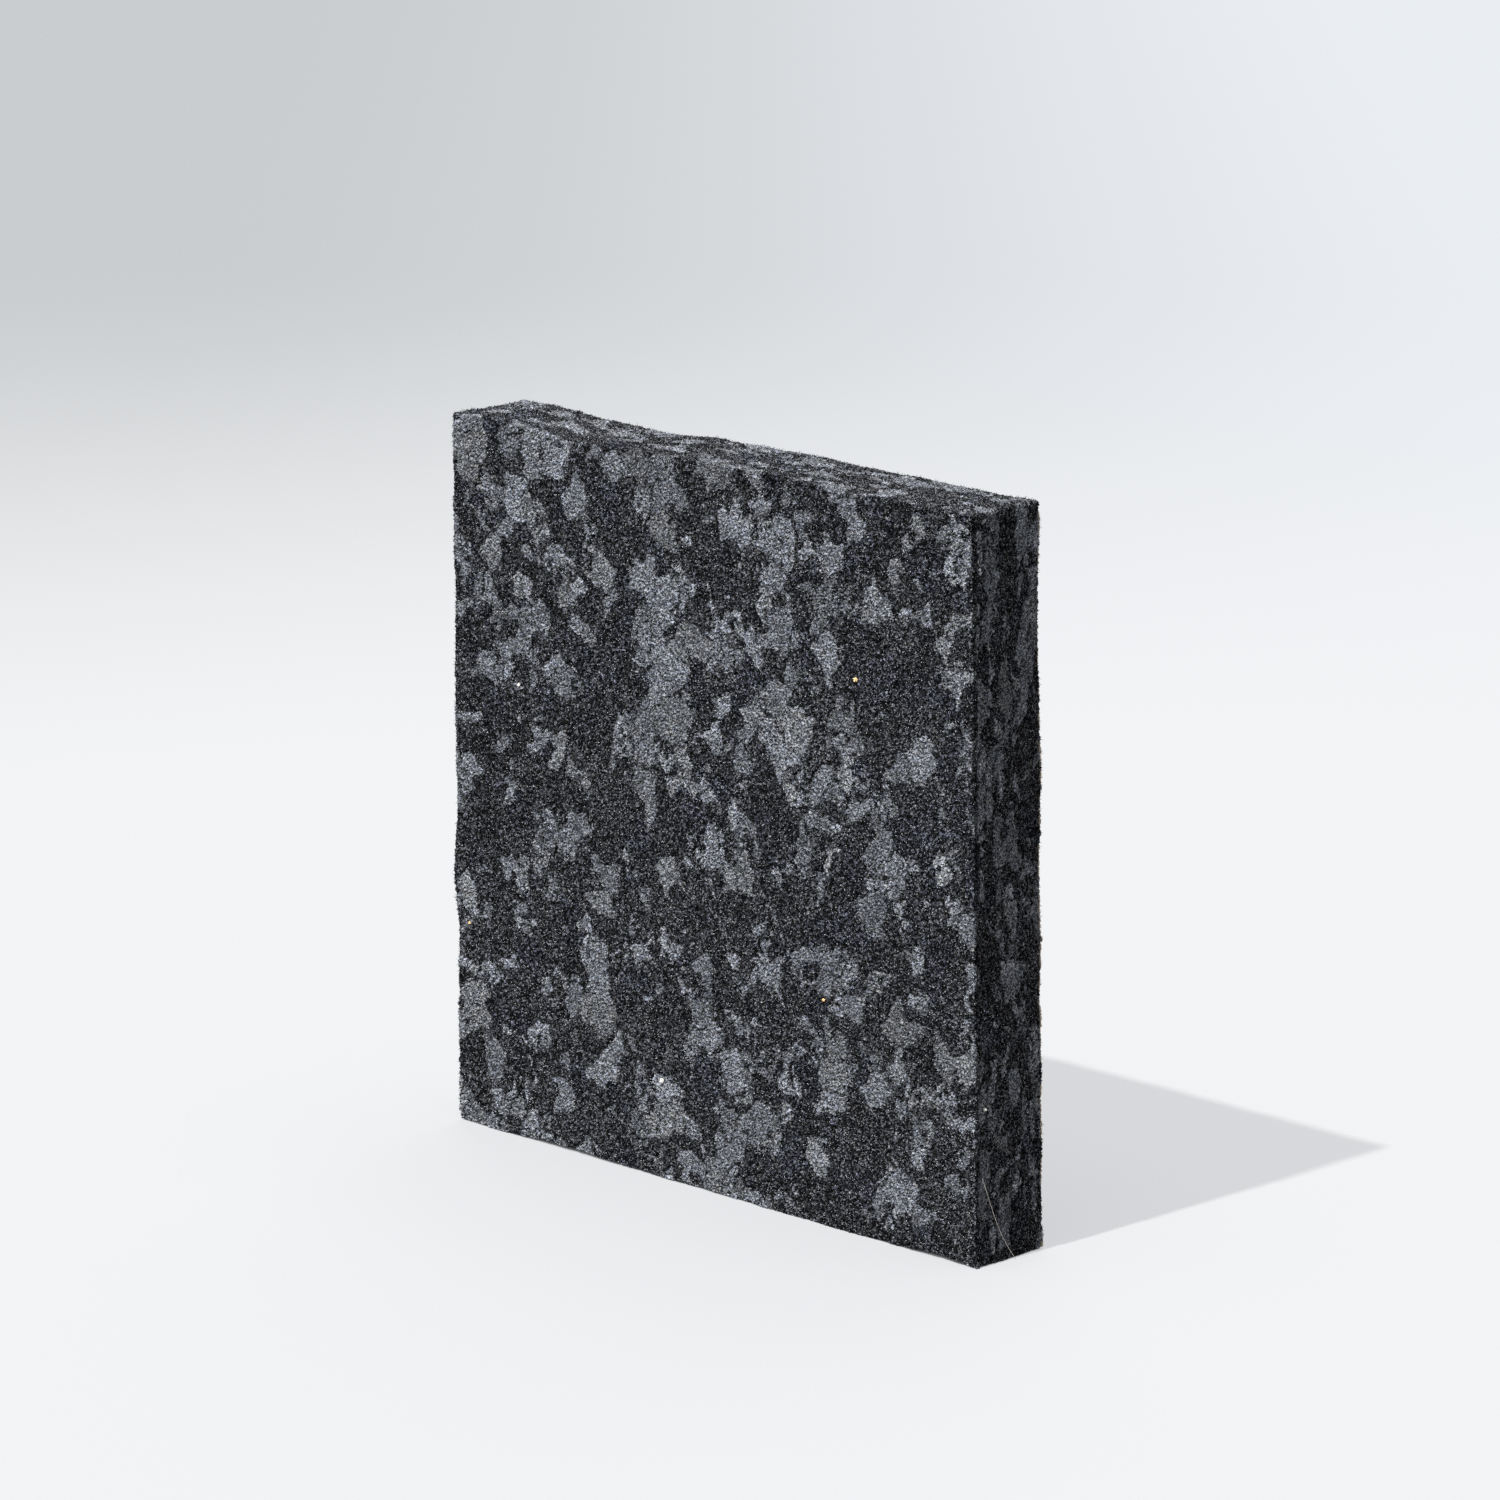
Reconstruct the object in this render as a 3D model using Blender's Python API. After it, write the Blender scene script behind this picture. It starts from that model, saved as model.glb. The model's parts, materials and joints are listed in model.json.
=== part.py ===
"""Square slab of rebonded foam: irregular foam chips pressed flat, glued and sawn to size.

The slab stands on one of its narrow cut edges. +Z is up, +X runs along the width and +Y
through the thickness, away from the broad face that is looked at. The origin is on the
ground, under the middle of the slab. Lengths are in metres.
"""

import math
import random

import bmesh
import bpy
from mathutils import Vector

# The slab, as sawn.
WIDTH = 0.150
HEIGHT = 0.150
THICKNESS = 0.020

# The glue line between two chips. The binder soaks into the cell walls on both sides, so no
# solid of its own is left in it.
GLUE_LINE = 0.0003

# How the chips are stacked through the slab. Every second row is one chip longer.
LAYERS = 2
ROWS = 5
CHIPS_IN_SHORT_ROW = 5

# How far a chip's middle strays from an even spacing, as a share of the spacing.
STRAY_ALONG_FACE = 0.30
STRAY_THROUGH = 0.16

# The press squashes the chips through the thickness, so each is this many times broader than
# it is deep, compared with a loose one.
PRESSED_FLAT = 2.1

SEED = 41

# Foam colours (linear), with the share of chips cut from each, and how far a chip may differ
# in brightness from the next one of its colour.
FOAMS = {
    "charcoal": ((0.018, 0.019, 0.021), 0.52),
    "slate_grey": ((0.105, 0.112, 0.128), 0.22),
    "stone_grey": ((0.082, 0.084, 0.082), 0.14),
    "dark_navy": ((0.020, 0.022, 0.032), 0.12),
}
BRIGHTNESS_SPREAD = 0.25
FOAM_ROUGHNESS = 0.95


def clear_scene():
    for thing in list(bpy.data.objects):
        bpy.data.objects.remove(thing, do_unlink=True)


def row_positions(count):
    """Even spacing of `count` chips along one unit of length, the outer two at half a step."""
    return [(i + 0.5) / count for i in range(count)]


def chip_middles(draw):
    """The middle of every chip, layer by layer and row by row from the ground up."""
    middles = []
    layer_depth = THICKNESS / LAYERS
    row_height = HEIGHT / ROWS
    for layer in range(LAYERS):
        y = -THICKNESS / 2 + (layer + 0.5) * layer_depth
        for row in range(ROWS):
            z = (row + 0.5) * row_height
            long_row = (row + layer) % 2
            count = CHIPS_IN_SHORT_ROW + long_row
            chip_width = WIDTH / count
            for share in row_positions(count):
                x = (share - 0.5) * WIDTH
                stray = Vector((
                    draw.uniform(-1, 1) * STRAY_ALONG_FACE * chip_width,
                    draw.uniform(-1, 1) * STRAY_THROUGH * layer_depth,
                    draw.uniform(-1, 1) * STRAY_ALONG_FACE * row_height,
                ))
                middles.append(Vector((x, y, z)) + stray)
    return middles


def foam_of_each_chip(draw, count):
    """A foam for every chip, in the shares of FOAMS, well mixed."""
    names = []
    for name, (_, share) in FOAMS.items():
        names += [name] * round(share * count)
    main_foam = next(iter(FOAMS))
    names = (names + [main_foam] * count)[:count]
    draw.shuffle(names)
    return names


def slab_block(bm):
    """The whole slab as one block, sawn on six sides."""
    bmesh.ops.create_cube(bm, size=1.0)
    for vert in bm.verts:
        vert.co = Vector((
            vert.co.x * WIDTH,
            vert.co.y * THICKNESS,
            (vert.co.z + 0.5) * HEIGHT,
        ))


def cut_to_neighbour(bm, middle, neighbour):
    """Cuts away what lies nearer the neighbour, counting depth PRESSED_FLAT times over."""
    gap = neighbour - middle
    normal = Vector((gap.x, gap.y * PRESSED_FLAT ** 2, gap.z)).normalized()
    on_cut = (middle + neighbour) / 2 - normal * GLUE_LINE / 2
    cut = bmesh.ops.bisect_plane(
        bm,
        geom=bm.verts[:] + bm.edges[:] + bm.faces[:],
        dist=1e-9,
        plane_co=on_cut,
        plane_no=normal,
        clear_outer=True,
    )
    rim = [item for item in cut["geom_cut"] if isinstance(item, bmesh.types.BMEdge)]
    if rim:
        bmesh.ops.contextual_create(bm, geom=rim)


def chip_mesh(name, middle, middles):
    """One chip: the part of the slab that is nearest its middle, less half the glue lines."""
    bm = bmesh.new()
    slab_block(bm)
    nearest_first = sorted(middles, key=lambda other: (other - middle).length)
    for other in nearest_first[1:]:
        cut_to_neighbour(bm, middle, other)
    bmesh.ops.remove_doubles(bm, verts=bm.verts[:], dist=1e-6)
    bmesh.ops.translate(bm, verts=bm.verts[:], vec=-middle)
    bmesh.ops.recalc_face_normals(bm, faces=bm.faces[:])
    mesh = bpy.data.meshes.new(name)
    bm.to_mesh(mesh)
    bm.free()
    return mesh


def foam_material(name, colour, brightness):
    material = bpy.data.materials.new(name)
    material.use_nodes = True
    shader = material.node_tree.nodes["Principled BSDF"]
    red, green, blue = (part * brightness for part in colour)
    shader.inputs["Base Color"].default_value = (red, green, blue, 1.0)
    shader.inputs["Roughness"].default_value = FOAM_ROUGHNESS
    shader.inputs["Metallic"].default_value = 0.0
    material.diffuse_color = (red, green, blue, 1.0)
    return material


def add_chip(name, middle, middles, colour, brightness, slab):
    mesh = chip_mesh(name, middle, middles)
    mesh.materials.append(foam_material(name, colour, brightness))
    chip = bpy.data.objects.new(name, mesh)
    chip.location = middle
    chip.parent = slab
    bpy.context.scene.collection.objects.link(chip)


def build():
    clear_scene()
    draw = random.Random(SEED)
    slab = bpy.data.objects.new("slab", None)
    bpy.context.scene.collection.objects.link(slab)
    middles = chip_middles(draw)
    foams = foam_of_each_chip(draw, len(middles))
    made = dict.fromkeys(FOAMS, 0)
    for middle, foam in zip(middles, foams):
        made[foam] += 1
        name = f"{foam}_chip_{made[foam]:02d}"
        brightness = 1 + draw.uniform(-1, 1) * BRIGHTNESS_SPREAD
        add_chip(name, middle, middles, FOAMS[foam][0], brightness, slab)


build()
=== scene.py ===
"""The looks of a square slab of rebonded foam, standing on one narrow sawn edge.

Each chip solid of the frame is replaced by a foam piece cut along the same planes, so that
the pieces meet with no gap. The pieces share one pattern in space: small flat chips of dark
and grey foam, with open cells, which gives both the relief of the surface and its colours.
"""

import json
import math

import bpy
import numpy as np
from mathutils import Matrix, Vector


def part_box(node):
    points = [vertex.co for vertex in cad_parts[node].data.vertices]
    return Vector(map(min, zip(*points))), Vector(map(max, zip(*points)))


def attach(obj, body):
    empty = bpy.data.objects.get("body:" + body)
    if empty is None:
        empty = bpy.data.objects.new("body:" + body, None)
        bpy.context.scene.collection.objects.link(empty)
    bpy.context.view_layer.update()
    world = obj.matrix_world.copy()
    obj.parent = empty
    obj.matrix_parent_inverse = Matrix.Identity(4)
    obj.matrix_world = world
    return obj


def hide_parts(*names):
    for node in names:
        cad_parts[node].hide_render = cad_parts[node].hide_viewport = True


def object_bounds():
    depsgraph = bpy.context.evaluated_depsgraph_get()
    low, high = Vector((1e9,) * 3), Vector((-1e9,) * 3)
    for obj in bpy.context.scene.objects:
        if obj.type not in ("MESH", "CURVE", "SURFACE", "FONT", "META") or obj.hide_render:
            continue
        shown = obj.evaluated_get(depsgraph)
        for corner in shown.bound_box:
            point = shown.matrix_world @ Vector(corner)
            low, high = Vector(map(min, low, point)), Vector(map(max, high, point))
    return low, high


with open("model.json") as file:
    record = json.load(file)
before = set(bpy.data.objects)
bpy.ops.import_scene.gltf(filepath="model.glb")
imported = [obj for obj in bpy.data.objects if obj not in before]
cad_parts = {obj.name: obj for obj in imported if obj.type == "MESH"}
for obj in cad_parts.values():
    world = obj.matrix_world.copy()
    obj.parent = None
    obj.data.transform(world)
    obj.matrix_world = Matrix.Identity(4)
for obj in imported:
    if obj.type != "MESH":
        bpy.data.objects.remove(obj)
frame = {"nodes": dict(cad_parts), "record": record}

CAD_LOW, CAD_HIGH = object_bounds()
SLAB_SIZE = CAD_HIGH - CAD_LOW
SLAB_MIDDLE = (CAD_LOW + CAD_HIGH) / 2

# The camera stands to the right of the broad front face and looks a little down on the slab.
CAMERA_PLACE = Vector((1.0808, -1.0515, 0.4416))
CAMERA_TURN = math.radians(45.75)
CAMERA_TILT = math.radians(13.118)
CAMERA_LENS = 185.3
SENSOR_WIDTH = 36.0

# The mesh of the sawn faces: the spacing of its points.
SKIN_STEP = 0.0003
# The glue line that the frame leaves between two chips.
GLUE_LINE = 0.0003
# How many times broader than deep the pressed chips are.
PRESSED_FLAT = 2.1
# How far inside a face of the slab a plane may lie and still count as that face.
ON_FACE = 1e-5

# The small chips that show, in two sizes: how broad, how deep and how tall one is on the average.
LARGE_CHIP = Vector((0.0066, 0.0030, 0.0074))
SMALL_CHIP = Vector((0.0044, 0.0018, 0.0050))
# The share of the room that the large chips fill.
LARGE_SHARE = 0.64
# How the chips' outlines are torn: (bumps per metre, how far the outline moves).
TORN = ((120.0, 0.0105), (290.0, 0.0045))
# The share of pale foam among the small chips, by the foam of the chip solid they lie in.
PALE_SHARE = {
    "charcoal_foam": 0.35,
    "dark_navy_foam": 0.34,
    "slate_grey_foam": 0.45,
    "stone_grey_foam": 0.45,
}

# The torn skin: how round the slab's edges are, and how far its parts lie in (-) or out (+).
EDGE_RADIUS = 0.0004
PORE_SIZE = (0.00052, 0.00038, 0.00052)
PORE_DEPTH = 0.00034
# (bumps per metre, lowest, highest)
LUMPS = (2900.0, -0.00013, 0.00013)
SWELL = (75.0, -0.00036, 0.00024)
CHIP_LEVEL = (-0.00020, 0.00006)
GROOVE_DEPTH = 0.00018
GROOVE_WIDTH = 0.0004
# How a pale chip's outline is frayed: (bumps per metre, how far, how softly it ends).
FRAYED = (900.0, 0.0006, 0.0003)
# The middle of the torn skin stands this far out, so that its lumps and pores lie about the cut.
SKIN_OUT = 0.00022
# The dark band on the narrow sides lies this far behind the front.
DARK_BAND = 0.00085
# Torn struts that stand off the skin: how many to the square metre, on the faces and at the edges.
STRUTS_ON_FACE = 0.5e6
STRUTS_AT_EDGE = 5.0e6
STRUT_RADIUS = 0.00006
STRUT_LENGTH = (0.00025, 0.0007)
# No strut grows so near the table that it would reach it.
STRUTS_ABOVE = 0.0010
HAIR_RADIUS = 0.00004
CRUMB_SEED = 7
# The way to the right of the camera, along which the room grows lighter.
RIGHTWARDS = (0.698, 0.716, 0.0)
# The foams' colours, the struts' two hues and the painted glint: a light spot for a strut's
# highlight.
CHARCOAL = (0.0218, 0.0228, 0.0256, 1)
NAVY = (0.0202, 0.0215, 0.0268, 1)
SLATE = (0.0970, 0.1035, 0.1160, 1)
STONE = (0.0965, 0.1015, 0.1090, 1)
COOL_STRUT = (0.93, 0.98, 1.08, 1)
WARM_STRUT = (1.08, 1.02, 0.93, 1)
PAINTED_GLINT = (0.50, 0.51, 0.53, 1)
# The painted backlight at the right back edge: a warm light colour on the torn rim and struts, as
# if light shone through them, and its place.
PAINTED_BACKLIGHT = (0.78, 0.66, 0.52, 1)
PAINTED_BACKLIGHT_X = (0.0705, 0.0722)
PAINTED_BACKLIGHT_Y = (0.0091, 0.0097)
# How far the painted glints go towards their light colour.
PAINTED_GLINT_SHARE = 0.80
CELL_SIZE = 0.00042
CELL_BUMP = 0.00022
# How brightly a cell shows: (how rare bright ones are, darkest, brightest).
DARK_CELLS = (3.8, 0.12, 5.1)
PALE_CELLS = (1.6, 0.36, 2.3)
# How much lighter or darker each mark makes the foam: (where it is absent, where it is full).
CHIP_SHADES = (0.68, 1.32)
CLOUD_SHADES = (0.93, 1.07)
SEAM_SHADES = (1.0, 0.75)
EDGE_SHADES = (1.0, 1.2)
BEHIND_SHADES = (1.0, 0.30)
STRUT_SHADES = (1.0, 1.35)
# Chips whose second lot lies beyond this are navy, or stone where they are pale.
OTHER_HUE = (0.70, 0.78)
# The table: its colour, and its glow near the slab and far off at the left and the right.
TABLE = (0.120, 0.120, 0.120, 1)
NEAR_GLOW = (0.585, 0.596, 0.616, 1)
FAR_LEFT_GLOW = (0.285, 0.306, 0.322, 1)
FAR_RIGHT_GLOW = (0.515, 0.550, 0.590, 1)
# The lights: strength, how wide they are in the sky, how high they stand and which way they turn.
KEY_LIGHT = (6.6, 1.2, 55.4, -1.27)
FILL_LIGHT = (1.3, 50.0, 38.0, 215.0)
OVERHEAD, ALL_ROUND = 1.45, 0.10
# Where the saw wandered: (place along the edge, half-width, how far out), in metres.
TOP_WANDER = ((-0.0636, 0.009, 0.00045), (-0.038, 0.012, -0.0008), (0.012, 0.014, 0.0003))
LEFT_WANDER = ((0.0535, 0.009, 0.0008), (0.110, 0.012, -0.0002), (0.041, 0.006, -0.0002))
FOOT_WANDER = ((-0.040, 0.013, 0.0008), (0.000, 0.010, 0.0003), (0.063, 0.008, 0.0006))
# The left and right sawn edges lean this much, as a share of the height.
LEFT_LEAN = -0.0020
RIGHT_LEAN = -0.0190
# How far the left face lies out of the box, and how far both faces turn in towards the back.
LEFT_OUT = 0.0004
LEFT_SKEW = 0.0004
RIGHT_SKEW = -0.0008


def put(tree, kind, sockets=None, **settings):
    """Adds a node. A socket is given a value, or the socket that feeds it."""
    made = tree.nodes.new(kind)
    for name, value in settings.items():
        setattr(made, name, value)
    for socket, value in (sockets or {}).items():
        if isinstance(value, bpy.types.NodeSocket):
            tree.links.new(value, made.inputs[socket])
        else:
            made.inputs[socket].default_value = value
    return made


def maths(tree, operation, first, second=0.0, third=0.0, clamp=False):
    made = put(tree, "ShaderNodeMath", {0: first, 1: second, 2: third}, operation=operation)
    made.use_clamp = clamp
    return made.outputs[0]


def vectors(tree, operation, first, second=(0.0, 0.0, 0.0)):
    made = put(tree, "ShaderNodeVectorMath", {0: first}, operation=operation)
    socket = made.inputs["Scale"] if operation == "SCALE" else made.inputs[1]
    if isinstance(second, bpy.types.NodeSocket):
        tree.links.new(second, socket)
    else:
        socket.default_value = second
    return made.outputs["Value" if operation in ("LENGTH", "DOT_PRODUCT") else "Vector"]


def ramp(tree, value, low, high, to_low=0.0, to_high=1.0, smooth=True):
    """Maps low..high onto to_low..to_high, held at both ends."""
    return put(
        tree,
        "ShaderNodeMapRange",
        {"Value": value, "From Min": low, "From Max": high, "To Min": to_low, "To Max": to_high},
        interpolation_type="SMOOTHSTEP" if smooth else "LINEAR",
    ).outputs["Result"]


def new_group(name, kind, inputs, outputs):
    """A node group with named sockets, and its input and output nodes."""
    tree = bpy.data.node_groups.new(name, kind)
    for label, socket in inputs:
        tree.interface.new_socket(label, in_out="INPUT", socket_type=socket)
    for label, socket in outputs:
        tree.interface.new_socket(label, in_out="OUTPUT", socket_type=socket)
    return tree, tree.nodes.new("NodeGroupInput").outputs, tree.nodes.new("NodeGroupOutput").inputs


# ---------------------------------------------------------------- the fine block

def fine_block_group():
    """Turns a box into the same box with its faces divided at the given step."""
    tree, given, made = new_group(
        "fine_block", "GeometryNodeTree",
        [("Geometry", "NodeSocketGeometry"), ("Step", "NodeSocketVector")],
        [("Geometry", "NodeSocketGeometry")],
    )
    box = put(tree, "GeometryNodeBoundBox", {"Geometry": given["Geometry"]})
    size = vectors(tree, "SUBTRACT", box.outputs["Max"], box.outputs["Min"])
    steps = put(tree, "ShaderNodeSeparateXYZ",
                {"Vector": vectors(tree, "DIVIDE", size, given["Step"])})
    cube = put(tree, "GeometryNodeMeshCube", {"Size": size})
    for axis in "XYZ":
        count = maths(tree, "ROUND", maths(tree, "ADD", steps.outputs[axis], 1.0))
        whole = put(tree, "FunctionNodeFloatToInt", {"Float": count})
        tree.links.new(whole.outputs[0], cube.inputs["Vertices " + axis])
    both = vectors(tree, "ADD", box.outputs["Max"], box.outputs["Min"])
    middle = vectors(tree, "SCALE", both, 0.5)
    placed = put(tree, "GeometryNodeTransform",
                 {"Geometry": cube.outputs["Mesh"], "Translation": middle})
    tree.links.new(placed.outputs[0], made["Geometry"])
    return tree


# ---------------------------------------------------------------- the relief

def wander(tree, along, bumps):
    """The sum of smooth bumps along an edge."""
    total = 0.0
    for place, half_width, height in bumps:
        away = maths(tree, "ABSOLUTE", maths(tree, "SUBTRACT", along, place))
        bump = ramp(tree, away, 0.0, 2 * half_width, height, 0.0)
        total = maths(tree, "ADD", bump, total)
    return total


def blended(tree, share, first, second):
    """Goes from the first vector to the second as share goes from 0 to 1."""
    made = put(tree, "ShaderNodeMix", {0: share, 4: first, 5: second}, data_type="VECTOR")
    return made.outputs[1]


def chip_pattern(tree, place):
    """The small chips, as three sockets: random lots, the chip's middle and how deep inside it."""
    flat = Vector((1.0, 1 / PRESSED_FLAT, 1.0))
    torn = place
    for scale, reach in TORN:
        noise = put(tree, "ShaderNodeTexNoise", {"Vector": place, "Scale": scale, "Detail": 1.0})
        away = vectors(tree, "SUBTRACT", noise.outputs["Color"], (0.5, 0.5, 0.5))
        torn = vectors(tree, "ADD", torn, vectors(tree, "MULTIPLY", away, flat * reach))
    found = []
    for size in (LARGE_CHIP, SMALL_CHIP):
        in_chips = vectors(tree, "DIVIDE", torn, size)
        chips = put(tree, "ShaderNodeTexVoronoi", {"Vector": in_chips, "Scale": 1.0})
        edges = put(tree, "ShaderNodeTexVoronoi", {"Vector": in_chips, "Scale": 1.0},
                    feature="DISTANCE_TO_EDGE")
        middle = vectors(tree, "MULTIPLY", chips.outputs["Position"], size)
        inside = maths(tree, "MULTIPLY", edges.outputs["Distance"], size.x)
        found.append((chips.outputs["Color"], middle, inside))
    lot = put(tree, "ShaderNodeSeparateXYZ", {"Vector": found[0][0]}).outputs["Z"]
    small = maths(tree, "GREATER_THAN", lot, LARGE_SHARE)
    chance = blended(tree, small, found[0][0], found[1][0])
    middle = blended(tree, small, found[0][1], found[1][1])
    far_off = maths(tree, "MULTIPLY_ADD", small, -1.0, 1.0)
    inside = maths(tree, "MINIMUM", found[0][2], maths(tree, "ADD", found[1][2], far_off))
    return chance, middle, inside


def store(tree, geometry, name, value):
    return put(tree, "GeometryNodeStoreNamedAttribute",
               {"Geometry": geometry, "Name": name, "Value": value},
               data_type="FLOAT", domain="POINT").outputs[0]


def relief_group(chip_cloud):
    """Rounds the slab's edges, tears open its sawn faces and marks the small chips."""
    tree, given, made = new_group(
        "foam_relief", "GeometryNodeTree",
        [("Geometry", "NodeSocketGeometry")], [("Geometry", "NodeSocketGeometry")],
    )
    place = put(tree, "GeometryNodeInputPosition").outputs[0]
    margin = Vector((EDGE_RADIUS,) * 3)
    core = vectors(tree, "MINIMUM", place, CAD_HIGH - margin)
    core = vectors(tree, "MAXIMUM", core, CAD_LOW + margin)
    out = vectors(tree, "SUBTRACT", place, core)
    depth = vectors(tree, "LENGTH", out)
    out = vectors(tree, "NORMALIZE", out)
    on_skin = ramp(tree, depth, 0.0, EDGE_RADIUS, smooth=False)
    rounded = vectors(tree, "ADD", core,
                      vectors(tree, "SCALE", out, maths(tree, "MINIMUM", depth, EDGE_RADIUS)))

    chance, middle, inside = chip_pattern(tree, place)
    lots = put(tree, "ShaderNodeSeparateXYZ", {"Vector": chance})
    cloud = put(tree, "GeometryNodeObjectInfo", {"Object": chip_cloud}).outputs["Geometry"]
    flat_middle = vectors(tree, "MULTIPLY", middle, (1.0, PRESSED_FLAT, 1.0))
    nearest = put(tree, "GeometryNodeSampleNearest",
                  {"Geometry": cloud, "Sample Position": flat_middle}).outputs[0]
    share = put(tree, "GeometryNodeInputNamedAttribute", {"Name": "pale_share"},
                data_type="FLOAT").outputs[0]
    share = put(tree, "GeometryNodeSampleIndex",
                {"Geometry": cloud, "Value": share, "Index": nearest}, data_type="FLOAT").outputs[0]
    pale = maths(tree, "LESS_THAN", lots.outputs["X"], share)
    per_metre, reach, softness = FRAYED
    fray = put(tree, "ShaderNodeTexNoise", {"Vector": place, "Scale": per_metre, "Detail": 2.0})
    fray = maths(tree, "SUBTRACT", fray.outputs["Fac"], 0.5)
    fray = maths(tree, "MULTIPLY_ADD", fray, reach, inside)
    pale = maths(tree, "MULTIPLY", pale, ramp(tree, fray, 0.0, softness))
    seam = ramp(tree, inside, 0.0, GROOVE_WIDTH, 1.0, 0.0)

    cells = put(tree, "ShaderNodeTexVoronoi",
                {"Vector": vectors(tree, "DIVIDE", place, PORE_SIZE), "Scale": 1.0})
    pores = ramp(tree, cells.outputs["Distance"], 0.15, 0.75, -PORE_DEPTH, 0.0)
    per_metre, lowest, highest = LUMPS
    rough = put(tree, "ShaderNodeTexNoise", {"Vector": place, "Scale": per_metre, "Detail": 1.0})
    rough = ramp(tree, rough.outputs["Fac"], 0.25, 0.75, lowest, highest)
    per_metre, lowest, highest = SWELL
    swell = put(tree, "ShaderNodeTexNoise", {"Vector": place, "Scale": per_metre, "Detail": 1.0})
    swell = ramp(tree, swell.outputs["Fac"], 0.2, 0.8, lowest, highest)
    level = ramp(tree, lots.outputs["Z"], 0.0, 1.0, *CHIP_LEVEL)
    groove = maths(tree, "MULTIPLY", seam, -GROOVE_DEPTH)
    height = maths(tree, "ADD", pores, SKIN_OUT)
    for more in (rough, swell, level, groove):
        height = maths(tree, "ADD", height, more)
    height = maths(tree, "MULTIPLY", height, on_skin)
    torn = vectors(tree, "ADD", rounded, vectors(tree, "SCALE", out, height))

    where = put(tree, "ShaderNodeSeparateXYZ", {"Vector": place})
    x, z = where.outputs["X"], where.outputs["Z"]
    up = maths(tree, "DIVIDE", z, SLAB_SIZE.z)
    across = ramp(tree, x, CAD_LOW.x, CAD_HIGH.x, smooth=False)
    lean = ramp(tree, across, 0.0, 1.0, LEFT_LEAN, RIGHT_LEAN, smooth=False)
    outwards = ramp(tree, across, 0.0, 1.0, -LEFT_OUT, 0.0, smooth=False)
    sideways = maths(tree, "MULTIPLY_ADD", lean, z, outwards)
    back = ramp(tree, where.outputs["Y"], CAD_LOW.y, CAD_HIGH.y, smooth=False)
    skew = ramp(tree, across, 0.0, 1.0, LEFT_SKEW, RIGHT_SKEW, smooth=False)
    sideways = maths(tree, "MULTIPLY_ADD", skew, back, sideways)
    leftness = maths(tree, "POWER", maths(tree, "SUBTRACT", 1.0, across, clamp=True), 6.0)
    bulge = maths(tree, "MULTIPLY", wander(tree, z, LEFT_WANDER), leftness)
    sideways = maths(tree, "SUBTRACT", sideways, bulge)
    sag = maths(tree, "MULTIPLY", wander(tree, x, TOP_WANDER), maths(tree, "POWER", up, 4.0))
    foot = maths(tree, "POWER", maths(tree, "SUBTRACT", 1.0, up, clamp=True), 10.0)
    lift = maths(tree, "MULTIPLY", wander(tree, x, FOOT_WANDER), foot)
    upwards = maths(tree, "ADD", sag, lift)
    shift = put(tree, "ShaderNodeCombineXYZ", {"X": sideways, "Z": upwards}).outputs[0]
    shaped = vectors(tree, "ADD", torn, shift)
    shaped = vectors(tree, "MAXIMUM", shaped, (-1.0, -1.0, CAD_LOW.z))
    facing = put(tree, "ShaderNodeSeparateXYZ", {"Vector": vectors(tree, "ABSOLUTE", out)})
    away = vectors(tree, "ABSOLUTE", vectors(tree, "SUBTRACT", place, SLAB_MIDDLE))
    away = vectors(tree, "SUBTRACT", SLAB_SIZE / 2, away)
    away = put(tree, "ShaderNodeSeparateXYZ", {"Vector": away})
    nearer = maths(tree, "MINIMUM", away.outputs["X"], away.outputs["Y"])
    farther = maths(tree, "MAXIMUM", away.outputs["X"], away.outputs["Y"])
    to_edge = maths(tree, "MAXIMUM", nearer, maths(tree, "MINIMUM", farther, away.outputs["Z"]))
    edge = maths(tree, "MULTIPLY", ramp(tree, to_edge, 0.0002, 0.0009, 1.0, 0.0), on_skin)
    beside = maths(tree, "SUBTRACT", where.outputs["Y"], CAD_LOW.y + DARK_BAND)
    beside = maths(tree, "ABSOLUTE", beside)
    behind = maths(tree, "MULTIPLY", ramp(tree, beside, 0.0002, 0.0008, 1.0, 0.0),
                   maths(tree, "GREATER_THAN", facing.outputs["X"], 0.8))

    # Torn foam has no smooth skin, so its facets keep their flat shading.
    geometry = put(tree, "GeometryNodeSetShadeSmooth",
                   {"Geometry": given["Geometry"], "Shade Smooth": False}, domain="FACE").outputs[0]
    marks = {
        "pale": pale,
        "tint": lots.outputs["Y"],
        "shade": lots.outputs["Z"],
        "seam": seam,
        "edge": edge,
        "behind": behind,
        "skin": on_skin,
    }
    for name, value in marks.items():
        geometry = store(tree, geometry, name, value)
    moved = put(tree, "GeometryNodeSetPosition", {"Geometry": geometry, "Position": shaped})
    tree.links.new(moved.outputs[0], made["Geometry"])
    return tree


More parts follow.
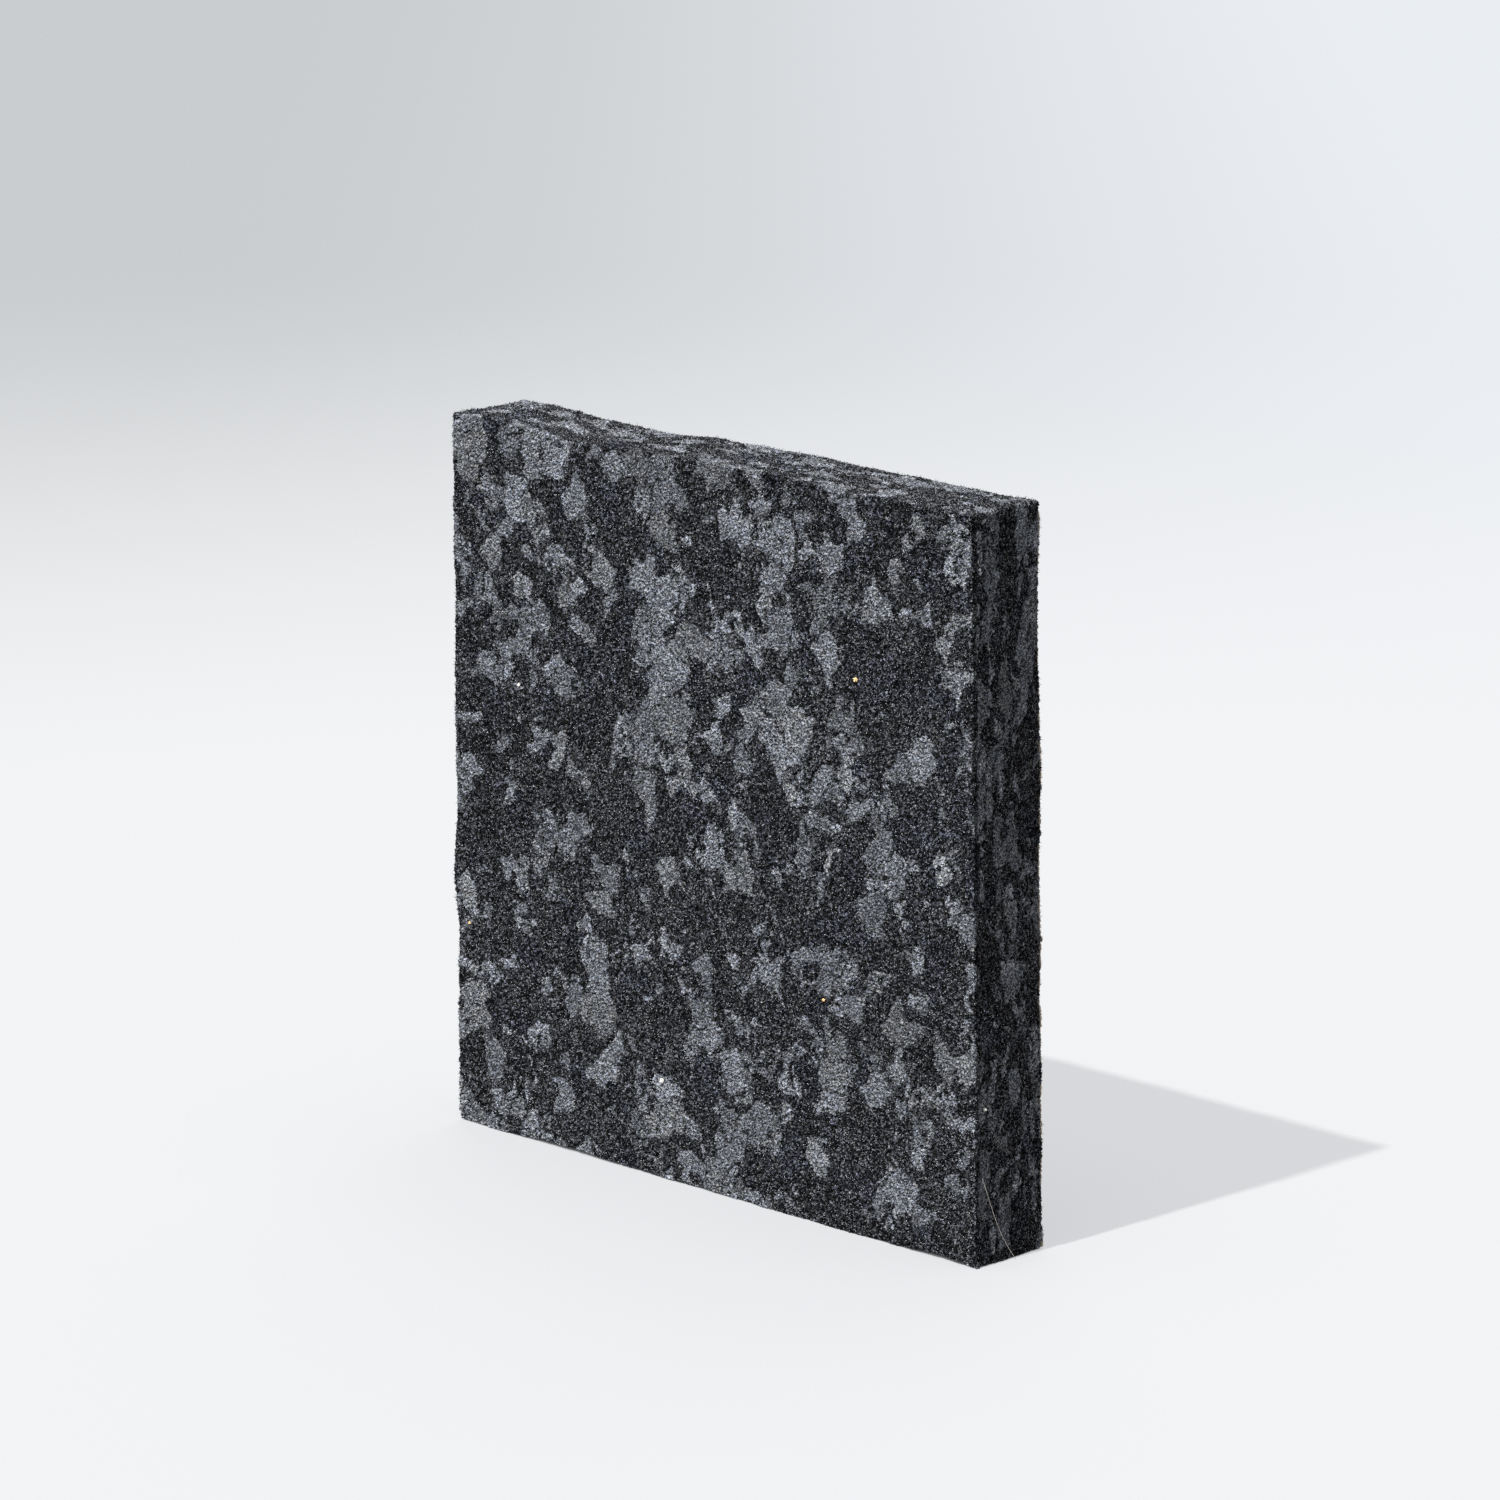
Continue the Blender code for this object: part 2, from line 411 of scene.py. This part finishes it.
def torn_struts_group():
    """Sets torn struts on the skin: thin three-sided cones, thickest along the slab's edges."""
    tree, given, made = new_group(
        "torn_struts", "GeometryNodeTree",
        [("Geometry", "NodeSocketGeometry")], [("Geometry", "NodeSocketGeometry")],
    )
    skin, edge = (
        put(tree, "GeometryNodeInputNamedAttribute", {"Name": name}, data_type="FLOAT").outputs[0]
        for name in ("skin", "edge")
    )
    place = put(tree, "GeometryNodeInputPosition").outputs[0]
    height = put(tree, "ShaderNodeSeparateXYZ", {"Vector": place}).outputs["Z"]
    free = maths(tree, "MULTIPLY", maths(tree, "GREATER_THAN", skin, 0.95),
                 maths(tree, "GREATER_THAN", height, STRUTS_ABOVE))
    points = put(tree, "GeometryNodeDistributePointsOnFaces", {
        "Mesh": given["Geometry"],
        "Selection": maths(tree, "GREATER_THAN", free, 0.5),
        "Density": ramp(tree, edge, 0.0, 1.0, STRUTS_ON_FACE, STRUTS_AT_EDGE, smooth=False),
    })
    spread = put(tree, "FunctionNodeRandomValue", {0: (-1.0, -1.0, -1.0), 1: (1.0, 1.0, 1.0)},
                 data_type="FLOAT_VECTOR").outputs[0]
    lean = vectors(tree, "ADD", vectors(tree, "SCALE", points.outputs["Normal"], 0.8), spread)
    turn = put(tree, "FunctionNodeAlignRotationToVector", {"Vector": lean}, axis="Z").outputs[0]
    lot = put(tree, "FunctionNodeRandomValue", {2: 0.0, 3: 1.0, "Seed": 5},
              data_type="FLOAT").outputs[1]
    length = ramp(tree, maths(tree, "POWER", lot, 2.0), 0.0, 1.0, *STRUT_LENGTH, smooth=False)
    size = put(tree, "ShaderNodeCombineXYZ", {"X": 1.0, "Y": 1.0, "Z": length}).outputs[0]
    cone = put(tree, "GeometryNodeMeshCone", {
        "Vertices": 3, "Radius Top": STRUT_RADIUS / 3, "Radius Bottom": STRUT_RADIUS, "Depth": 1.0,
    })
    struts = put(tree, "GeometryNodeInstanceOnPoints", {
        "Points": points.outputs["Points"], "Instance": cone.outputs["Mesh"],
        "Rotation": turn, "Scale": size,
    })
    struts = put(tree, "GeometryNodeRealizeInstances", {0: struts.outputs[0]}).outputs[0]
    struts = store(tree, struts, "strut", 1.0)
    joined = put(tree, "GeometryNodeJoinGeometry")
    tree.links.new(struts, joined.inputs[0])
    tree.links.new(given["Geometry"], joined.inputs[0])
    tree.links.new(joined.outputs[0], made["Geometry"])
    return tree


# ---------------------------------------------------------------- cutting the pieces

def node_planes(solid):
    """The planes of a chip solid that aren't faces of the slab, as (point, outward normal)."""
    planes = []
    for face in solid.data.polygons:
        on_slab = any(
            abs(abs(face.normal[axis]) - 1) < 1e-4
            and min(abs(face.center[axis] - CAD_LOW[axis]), abs(face.center[axis] - CAD_HIGH[axis]))
            < ON_FACE
            for axis in range(3)
        )
        if on_slab or face.area < 1e-9:
            continue
        for plane in planes:
            if plane[1].normalized().dot(face.normal) > 1 - 1e-5:
                plane[0] += face.center * face.area
                plane[1] += face.normal * face.area
                plane[2] += face.area
                break
        else:
            planes.append([face.center * face.area, face.normal * face.area, face.area])
    return [(point / area, normal.normalized()) for point, normal, area in planes]


def snapped(value, axis, steps, upwards):
    """The line of the slab's point grid at or beyond a place."""
    low, high = CAD_LOW[axis], CAD_HIGH[axis]
    line = (value - low) / (high - low) * steps
    line = math.ceil(line - 1e-3) if upwards else math.floor(line + 1e-3)
    return low + (high - low) * min(max(line, 0), steps) / steps


def apply_nodes(piece, group, values=None):
    modifier = piece.modifiers.new(group.name, "NODES")
    modifier.node_group = group
    for item in group.interface.items_tree:
        if item.item_type == "SOCKET" and item.in_out == "INPUT" and item.name in (values or {}):
            modifier[item.identifier] = values[item.name]
    bpy.ops.object.modifier_apply(modifier=modifier.name)


def foam_piece(node, solid, block_group, relief, struts):
    low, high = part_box(node)
    steps = [round(size / SKIN_STEP) for size in SLAB_SIZE]
    from_ = Vector([snapped(low[a] - GLUE_LINE, a, steps[a], False) for a in range(3)])
    to = Vector([snapped(high[a] + GLUE_LINE, a, steps[a], True) for a in range(3)])
    bpy.ops.object.select_all(action="DESELECT")
    bpy.ops.mesh.primitive_cube_add(size=1.0, location=(from_ + to) / 2, scale=to - from_)
    piece = bpy.context.object
    piece.name = node + "_foam"
    bpy.ops.object.transform_apply(location=True, rotation=True, scale=True)
    step = Vector([SLAB_SIZE[axis] / steps[axis] for axis in range(3)])
    at_side = any(
        min(abs(from_[axis] - CAD_LOW[axis]), abs(to[axis] - CAD_HIGH[axis])) < ON_FACE
        for axis in (0, 2)
    )
    if not at_side:
        step.y = to.y - from_.y
    apply_nodes(piece, block_group, {"Step": step})
    bpy.ops.object.mode_set(mode="EDIT")
    for point, normal in node_planes(solid):
        bpy.ops.mesh.select_all(action="SELECT")
        bpy.ops.mesh.bisect(plane_co=point + normal * GLUE_LINE / 2, plane_no=normal,
                            use_fill=True, clear_outer=True, threshold=1e-8)
    bpy.ops.object.mode_set(mode="OBJECT")
    apply_nodes(piece, relief)
    apply_nodes(piece, struts)
    return piece


def chip_cloud_of(nodes, slots):
    """A point for each chip solid, with its pale share, stretched through the slab."""
    bpy.ops.object.select_all(action="DESELECT")
    bpy.ops.mesh.primitive_plane_add(size=1.0)
    cloud = bpy.context.object
    cloud.name = "chip_cloud"
    middles = []
    for node in nodes:
        low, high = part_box(node)
        middle = (low + high) / 2
        middles.append((middle.x, middle.y * PRESSED_FLAT, middle.z))
    mesh = bpy.data.meshes.new("chip_cloud")
    mesh.from_pydata(middles, [], [])
    share = mesh.attributes.new("pale_share", "FLOAT", "POINT")
    for number, node in enumerate(nodes):
        share.data[number].value = PALE_SHARE[slots[node]]
    cloud.data = mesh
    return cloud


# ---------------------------------------------------------------- materials

def cells_group():
    """Open cells: how brightly the struts show, with more contrast in dark foam than in pale, and
    painted shade in the pores.
    """
    tree, given, made = new_group(
        "open_cells", "ShaderNodeTree",
        [("Vector", "NodeSocketVector"), ("Cell Size", "NodeSocketFloat"),
         ("Pale", "NodeSocketFloat")],
        [("Grain", "NodeSocketFloat"), ("Painted Glint", "NodeSocketFloat"), ("Hue", "NodeSocketFloat"),
         ("Height", "NodeSocketFloat")],
    )
    per_metre = maths(tree, "DIVIDE", 1.0, given["Cell Size"])
    flat = vectors(tree, "MULTIPLY", given["Vector"], (1.0, 1.35, 1.0))
    cells = put(tree, "ShaderNodeTexVoronoi", {"Vector": flat, "Scale": per_metre})
    lots = put(tree, "ShaderNodeSeparateColor", {"Color": cells.outputs["Color"]})
    open_ = ramp(tree, cells.outputs["Distance"], 0.12, 0.62)
    lot = lots.outputs[0]
    dark, pale = (
        ramp(tree, maths(tree, "POWER", lot, rarity), 0.0, 1.0, darkest, brightest, smooth=False)
        for rarity, darkest, brightest in (DARK_CELLS, PALE_CELLS)
    )
    lit = put(tree, "ShaderNodeMix", {0: given["Pale"], 2: dark, 3: pale}).outputs[0]
    # The struts are lighter and the middles of the cells darker: grain, with painted shade in the
    # open pores.
    walls_and_pore_shade = ramp(tree, open_, 0.0, 1.0, 0.15, 1.5, smooth=False)
    tree.links.new(maths(tree, "MULTIPLY", walls_and_pore_shade, lit), made["Grain"])
    # Painted glints: sparse small spots that stand in for highlights off the struts.
    sparks = put(tree, "ShaderNodeTexVoronoi",
                 {"Vector": flat, "Scale": maths(tree, "MULTIPLY", per_metre, 1.7)})
    chosen = put(tree, "ShaderNodeSeparateColor", {"Color": sparks.outputs["Color"]})
    near = ramp(tree, sparks.outputs["Distance"], 0.30, 0.55, 1.0, 0.0)
    bright = ramp(tree, chosen.outputs[1], 0.86, 1.0)
    tree.links.new(maths(tree, "MULTIPLY", near, bright), made["Painted Glint"])
    tree.links.new(lots.outputs[1], made["Hue"])
    tree.links.new(open_, made["Height"])
    return tree


def marked(tree, name):
    return put(tree, "ShaderNodeAttribute", attribute_name=name).outputs["Fac"]


def mixed_colour(tree, share, first, second, blend="MIX"):
    made = put(tree, "ShaderNodeMix", data_type="RGBA", blend_type=blend)
    for number, value in ((0, share), (6, first), (7, second)):
        socket = made.inputs[number]
        if isinstance(value, bpy.types.NodeSocket):
            tree.links.new(value, socket)
        else:
            socket.default_value = value
    return made.outputs[2]


def foam_material():
    material = bpy.data.materials.new("rebonded_foam")
    material.use_nodes = True
    tree = material.node_tree
    shader = tree.nodes["Principled BSDF"]
    place = put(tree, "ShaderNodeTexCoord").outputs["Object"]
    pale, tint, shade, seam, edge, behind, strut = (
        marked(tree, name) for name in ("pale", "tint", "shade", "seam", "edge", "behind", "strut")
    )
    cells = put(tree, "ShaderNodeGroup", node_tree=cells_group())
    tree.links.new(place, cells.inputs["Vector"])
    tree.links.new(pale, cells.inputs["Pale"])
    cells.inputs["Cell Size"].default_value = CELL_SIZE
    dark_foam = mixed_colour(tree, ramp(tree, tint, *OTHER_HUE), CHARCOAL, NAVY)
    pale_foam = mixed_colour(tree, ramp(tree, tint, *OTHER_HUE), SLATE, STONE)
    colour = mixed_colour(tree, pale, dark_foam, pale_foam)
    cloud = put(tree, "ShaderNodeTexNoise", {"Vector": place, "Scale": 260.0, "Detail": 2.0})
    levels = (
        ramp(tree, shade, 0.0, 1.0, *CHIP_SHADES, smooth=False),
        ramp(tree, cloud.outputs["Fac"], 0.3, 0.7, *CLOUD_SHADES, smooth=False),
        ramp(tree, seam, 0.0, 1.0, *SEAM_SHADES, smooth=False),
        ramp(tree, edge, 0.0, 1.0, *EDGE_SHADES, smooth=False),
        ramp(tree, behind, 0.0, 1.0, *BEHIND_SHADES, smooth=False),
        ramp(tree, strut, 0.0, 1.0, *STRUT_SHADES, smooth=False),
        cells.outputs["Grain"],
    )
    level = levels[0]
    for more in levels[1:]:
        level = maths(tree, "MULTIPLY", level, more)
    colour = put(tree, "ShaderNodeVectorMath", {0: colour, "Scale": level}, operation="SCALE")
    warmth = mixed_colour(tree, cells.outputs["Hue"], COOL_STRUT, WARM_STRUT)
    colour = mixed_colour(tree, 1.0, colour.outputs[0], warmth, blend="MULTIPLY")
    # The painted glints: highlights put into the colour as light spots.
    painted_glint = maths(tree, "MULTIPLY", cells.outputs["Painted Glint"], PAINTED_GLINT_SHARE)
    colour = mixed_colour(tree, painted_glint, colour, PAINTED_GLINT)
    where = put(tree, "ShaderNodeSeparateXYZ", {"Vector": place})
    # Painted backlight: the rim and struts at the right back edge get a warm light colour, as if
    # light shone through them.
    painted_backlight = maths(tree, "MULTIPLY", ramp(tree, where.outputs["X"], *PAINTED_BACKLIGHT_X),
                        ramp(tree, where.outputs["Y"], *PAINTED_BACKLIGHT_Y))
    painted_backlight = maths(tree, "MULTIPLY", painted_backlight, maths(tree, "MAXIMUM", edge, strut))
    painted_backlight = maths(tree, "MULTIPLY", painted_backlight, ramp(tree, cloud.outputs["Fac"], 0.40, 0.55))
    colour = mixed_colour(tree, maths(tree, "MULTIPLY", painted_backlight, 0.8), colour, PAINTED_BACKLIGHT)
    tree.links.new(colour, shader.inputs["Base Color"])
    shader.inputs["Roughness"].default_value = 0.85
    shader.inputs["Specular IOR Level"].default_value = 0.05
    bump = put(tree, "ShaderNodeBump",
               {"Height": cells.outputs["Height"], "Distance": CELL_BUMP, "Strength": 0.8})
    tree.links.new(bump.outputs[0], shader.inputs["Normal"])
    return material


def crumb_material(name, first, second):
    """A stray crumb: two close colours in fine lumps, a little glossy."""
    material = bpy.data.materials.new(name)
    material.use_nodes = True
    tree = material.node_tree
    shader = tree.nodes["Principled BSDF"]
    place = put(tree, "ShaderNodeTexCoord").outputs["Object"]
    lumps = put(tree, "ShaderNodeTexNoise", {"Vector": place, "Scale": 5000.0, "Detail": 2.0})
    share = ramp(tree, lumps.outputs["Fac"], 0.35, 0.65)
    tree.links.new(mixed_colour(tree, share, first, second), shader.inputs["Base Color"])
    shader.inputs["Roughness"].default_value = 0.45
    bump = put(tree, "ShaderNodeBump",
               {"Height": lumps.outputs["Fac"], "Distance": 0.0001, "Strength": 0.6})
    tree.links.new(bump.outputs[0], shader.inputs["Normal"])
    return material


def fibre_material():
    """A lint hair: pale, with darker stretches along it."""
    material = bpy.data.materials.new("lint_fibre")
    material.use_nodes = True
    tree = material.node_tree
    shader = tree.nodes["Principled BSDF"]
    place = put(tree, "ShaderNodeTexCoord").outputs["Object"]
    bands = put(tree, "ShaderNodeTexNoise", {"Vector": place, "Scale": 1200.0, "Detail": 1.0})
    share = ramp(tree, bands.outputs["Fac"], 0.3, 0.7)
    tree.links.new(mixed_colour(tree, share, (0.42, 0.38, 0.33, 1), (0.80, 0.77, 0.72, 1)),
                   shader.inputs["Base Color"])
    shader.inputs["Roughness"].default_value = 0.5
    return material


def floor_material():
    """A pale table in soft light: it glows evenly, with painted shade where the slab is close over
    it.
    """
    material = bpy.data.materials.new("pale_floor")
    material.use_nodes = True
    tree = material.node_tree
    shader = tree.nodes["Principled BSDF"]
    shader.inputs["Base Color"].default_value = TABLE
    shader.inputs["Roughness"].default_value = 0.7
    shader.inputs["Specular IOR Level"].default_value = 0.0
    place = put(tree, "ShaderNodeTexCoord").outputs["Object"]
    away = ramp(tree, vectors(tree, "LENGTH", place), 0.35, 1.15)
    rightness = ramp(tree, vectors(tree, "DOT_PRODUCT", place, RIGHTWARDS), -0.2, 0.3)
    far_glow = mixed_colour(tree, rightness, FAR_LEFT_GLOW, FAR_RIGHT_GLOW)
    glow = mixed_colour(tree, away, NEAR_GLOW, far_glow)
    tree.links.new(glow, shader.inputs["Emission Color"])
    # Painted shade: the glow fades near the slab and goes out under it, where the slab would block
    # the light.
    room = put(tree, "ShaderNodeAmbientOcclusion", {"Distance": 0.08}, samples=8).outputs["AO"]
    open_floor = ramp(tree, room, 0.02, 0.35, 0.0, 0.90)
    farther_off = ramp(tree, room, 0.35, 1.0, 0.0, 0.10, smooth=False)
    open_floor = maths(tree, "ADD", open_floor, farther_off)
    tree.links.new(open_floor, shader.inputs["Emission Strength"])
    return material


# ---------------------------------------------------------------- stage

def add_camera():
    data = bpy.data.cameras.new("camera")
    data.lens = CAMERA_LENS
    data.sensor_width = SENSOR_WIDTH
    camera = bpy.data.objects.new("camera", data)
    camera.location = CAMERA_PLACE
    camera.rotation_euler = (math.pi / 2 - CAMERA_TILT, 0.0, CAMERA_TURN)
    bpy.context.scene.collection.objects.link(camera)
    bpy.context.scene.camera = camera


def add_floor():
    bpy.ops.object.select_all(action="DESELECT")
    bpy.ops.mesh.primitive_plane_add(size=16.0, location=(0, 0, 0))
    floor = bpy.context.object
    floor.name = "floor"
    floor.data.materials.append(floor_material())


def add_sun(name, strength, width, height, turn):
    """A sun: its width, its height over the table and its turn about the upright are in degrees."""
    data = bpy.data.lights.new(name, "SUN")
    data.energy = strength
    data.angle = math.radians(width)
    sun = bpy.data.objects.new(name, data)
    sun.rotation_euler = (math.radians(90 - height), 0.0, math.radians(turn))
    bpy.context.scene.collection.objects.link(sun)


def add_light():
    # The key shines from the front, square onto the broad face. The fill shines softly from
    # behind and from the left, and leaves the front and the right side alone.
    add_sun("key", *KEY_LIGHT)
    add_sun("fill", *FILL_LIGHT)
    world = bpy.data.worlds.new("studio")
    bpy.context.scene.world = world
    world.use_nodes = True
    tree = world.node_tree
    sky = tree.nodes["Background"]
    # Soft light from high overhead, in a room that is dim lower down but looks pale.
    toward = put(tree, "ShaderNodeTexCoord").outputs["Generated"]
    height = put(tree, "ShaderNodeSeparateXYZ", {"Vector": toward}).outputs["Z"]
    overhead = maths(tree, "POWER", maths(tree, "MAXIMUM", height, 0.0), 4.0)
    lit = maths(tree, "MULTIPLY_ADD", overhead, OVERHEAD, ALL_ROUND)
    seen = put(tree, "ShaderNodeLightPath").outputs["Is Camera Ray"]
    rightness = vectors(tree, "DOT_PRODUCT", toward, RIGHTWARDS)
    looks = ramp(tree, rightness, -0.6, 0.6, 0.66, 0.84)
    strength = put(tree, "ShaderNodeMix", {0: seen, 2: lit, 3: looks}).outputs[0]
    hue = mixed_colour(tree, seen, (1.0, 0.975, 0.94, 1), (0.93, 0.96, 1.0, 1))
    tree.links.new(hue, sky.inputs["Color"])
    tree.links.new(strength, sky.inputs["Strength"])


# ---------------------------------------------------------------- crumbs and lint

def crumbs(name, places, material, seed):
    """Small torn lumps caught in the skin, as one piece. A place is (middle, radius)."""
    bpy.ops.object.select_all(action="DESELECT")
    made = []
    for number, (middle, radius) in enumerate(places):
        bpy.ops.mesh.primitive_ico_sphere_add(subdivisions=2, radius=radius, location=middle)
        bpy.ops.object.mode_set(mode="EDIT")
        bpy.ops.mesh.select_all(action="SELECT")
        bpy.ops.transform.vertex_random(offset=0.45 * radius, uniform=0.6, normal=0.0,
                                        seed=seed + number)
        bpy.ops.object.mode_set(mode="OBJECT")
        made.append(bpy.context.object)
    for crumb in made:
        crumb.select_set(True)
    bpy.ops.object.join()
    piece = bpy.context.object
    piece.name = name
    bpy.ops.object.transform_apply(location=True, rotation=True, scale=True)
    piece.data.materials.append(material)
    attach(piece, "root")
    return piece


def stray_crumbs():
    """Crumbs of other foams: a few where they show most, the rest strewn over the back face."""
    front, back = CAD_LOW.y - 0.0001, CAD_HIGH.y + 0.0001
    strewn = np.random.default_rng(CRUMB_SEED)
    ochre = [
        (Vector((0.0413, front, 0.1128)), 0.00040),
        (Vector((-0.0716, front, 0.0431)), 0.00028),
        (Vector((0.0327, front, 0.0465)), 0.00030),
    ]
    white = [
        (Vector((-0.0139, front, 0.0206)), 0.00042),
        (Vector((-0.0560, front, 0.0962)), 0.00032),
        (Vector((CAD_HIGH.x - 0.0008, -0.0070, 0.0318)), 0.00034),
    ]
    for places in (ochre, white):
        for _ in range(3):
            x, z = strewn.uniform(-0.065, 0.065), strewn.uniform(0.01, 0.14)
            places.append((Vector((x, back, z)), strewn.uniform(0.00025, 0.00042)))
    ochre_foam = crumb_material("ochre_crumb", (0.80, 0.42, 0.10, 1), (0.85, 0.70, 0.42, 1))
    white_foam = crumb_material("white_crumb", (0.80, 0.77, 0.68, 1), (0.90, 0.90, 0.88, 1))
    crumbs("ochre_crumbs", ochre, ochre_foam, CRUMB_SEED)
    crumbs("white_crumbs", white, white_foam, CRUMB_SEED + 20)


def lint_hair():
    """One pale hair that clings to the right face and touches the table with its end."""
    out = CAD_HIGH.x + 0.0002
    path = (
        (out, -0.0086, 0.0182),
        (out, -0.0062, 0.0130),
        (out, -0.0048, 0.0080),
        (out, -0.0024, 0.0040),
        (out + 0.0006, 0.0004, 0.0002),
    )
    bpy.ops.object.select_all(action="DESELECT")
    bpy.ops.curve.primitive_nurbs_path_add()
    piece = bpy.context.object
    for point, place in zip(piece.data.splines[0].points, path):
        point.co = (*place, 1.0)
    piece.data.bevel_depth = HAIR_RADIUS
    piece.data.bevel_resolution = 1
    piece.data.use_fill_caps = True
    piece.data.resolution_u = 8
    bpy.ops.object.convert(target="MESH")
    piece = bpy.context.object
    piece.name = "lint_hair"
    piece.data.materials.append(fibre_material())
    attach(piece, "root")


# ---------------------------------------------------------------- the object

def build():
    bpy.context.scene.view_settings.view_transform = "Standard"
    # A denoiser would take the foam's grain for noise.
    bpy.context.scene.cycles.use_denoising = False
    add_camera()
    nodes = sorted(frame["nodes"])
    slots = {part["node"]: part["material_slot"] for part in frame["record"]["subparts"]}
    cloud = chip_cloud_of(nodes, slots)
    block_group = fine_block_group()
    relief = relief_group(cloud)
    struts = torn_struts_group()
    foam = foam_material()
    for node in nodes:
        piece = foam_piece(node, frame["nodes"][node], block_group, relief, struts)
        piece.data.materials.clear()
        piece.data.materials.append(foam)
        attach(piece, "root")
        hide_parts(node)
    bpy.data.objects.remove(cloud)
    stray_crumbs()
    lint_hair()
    add_floor()
    add_light()


build()
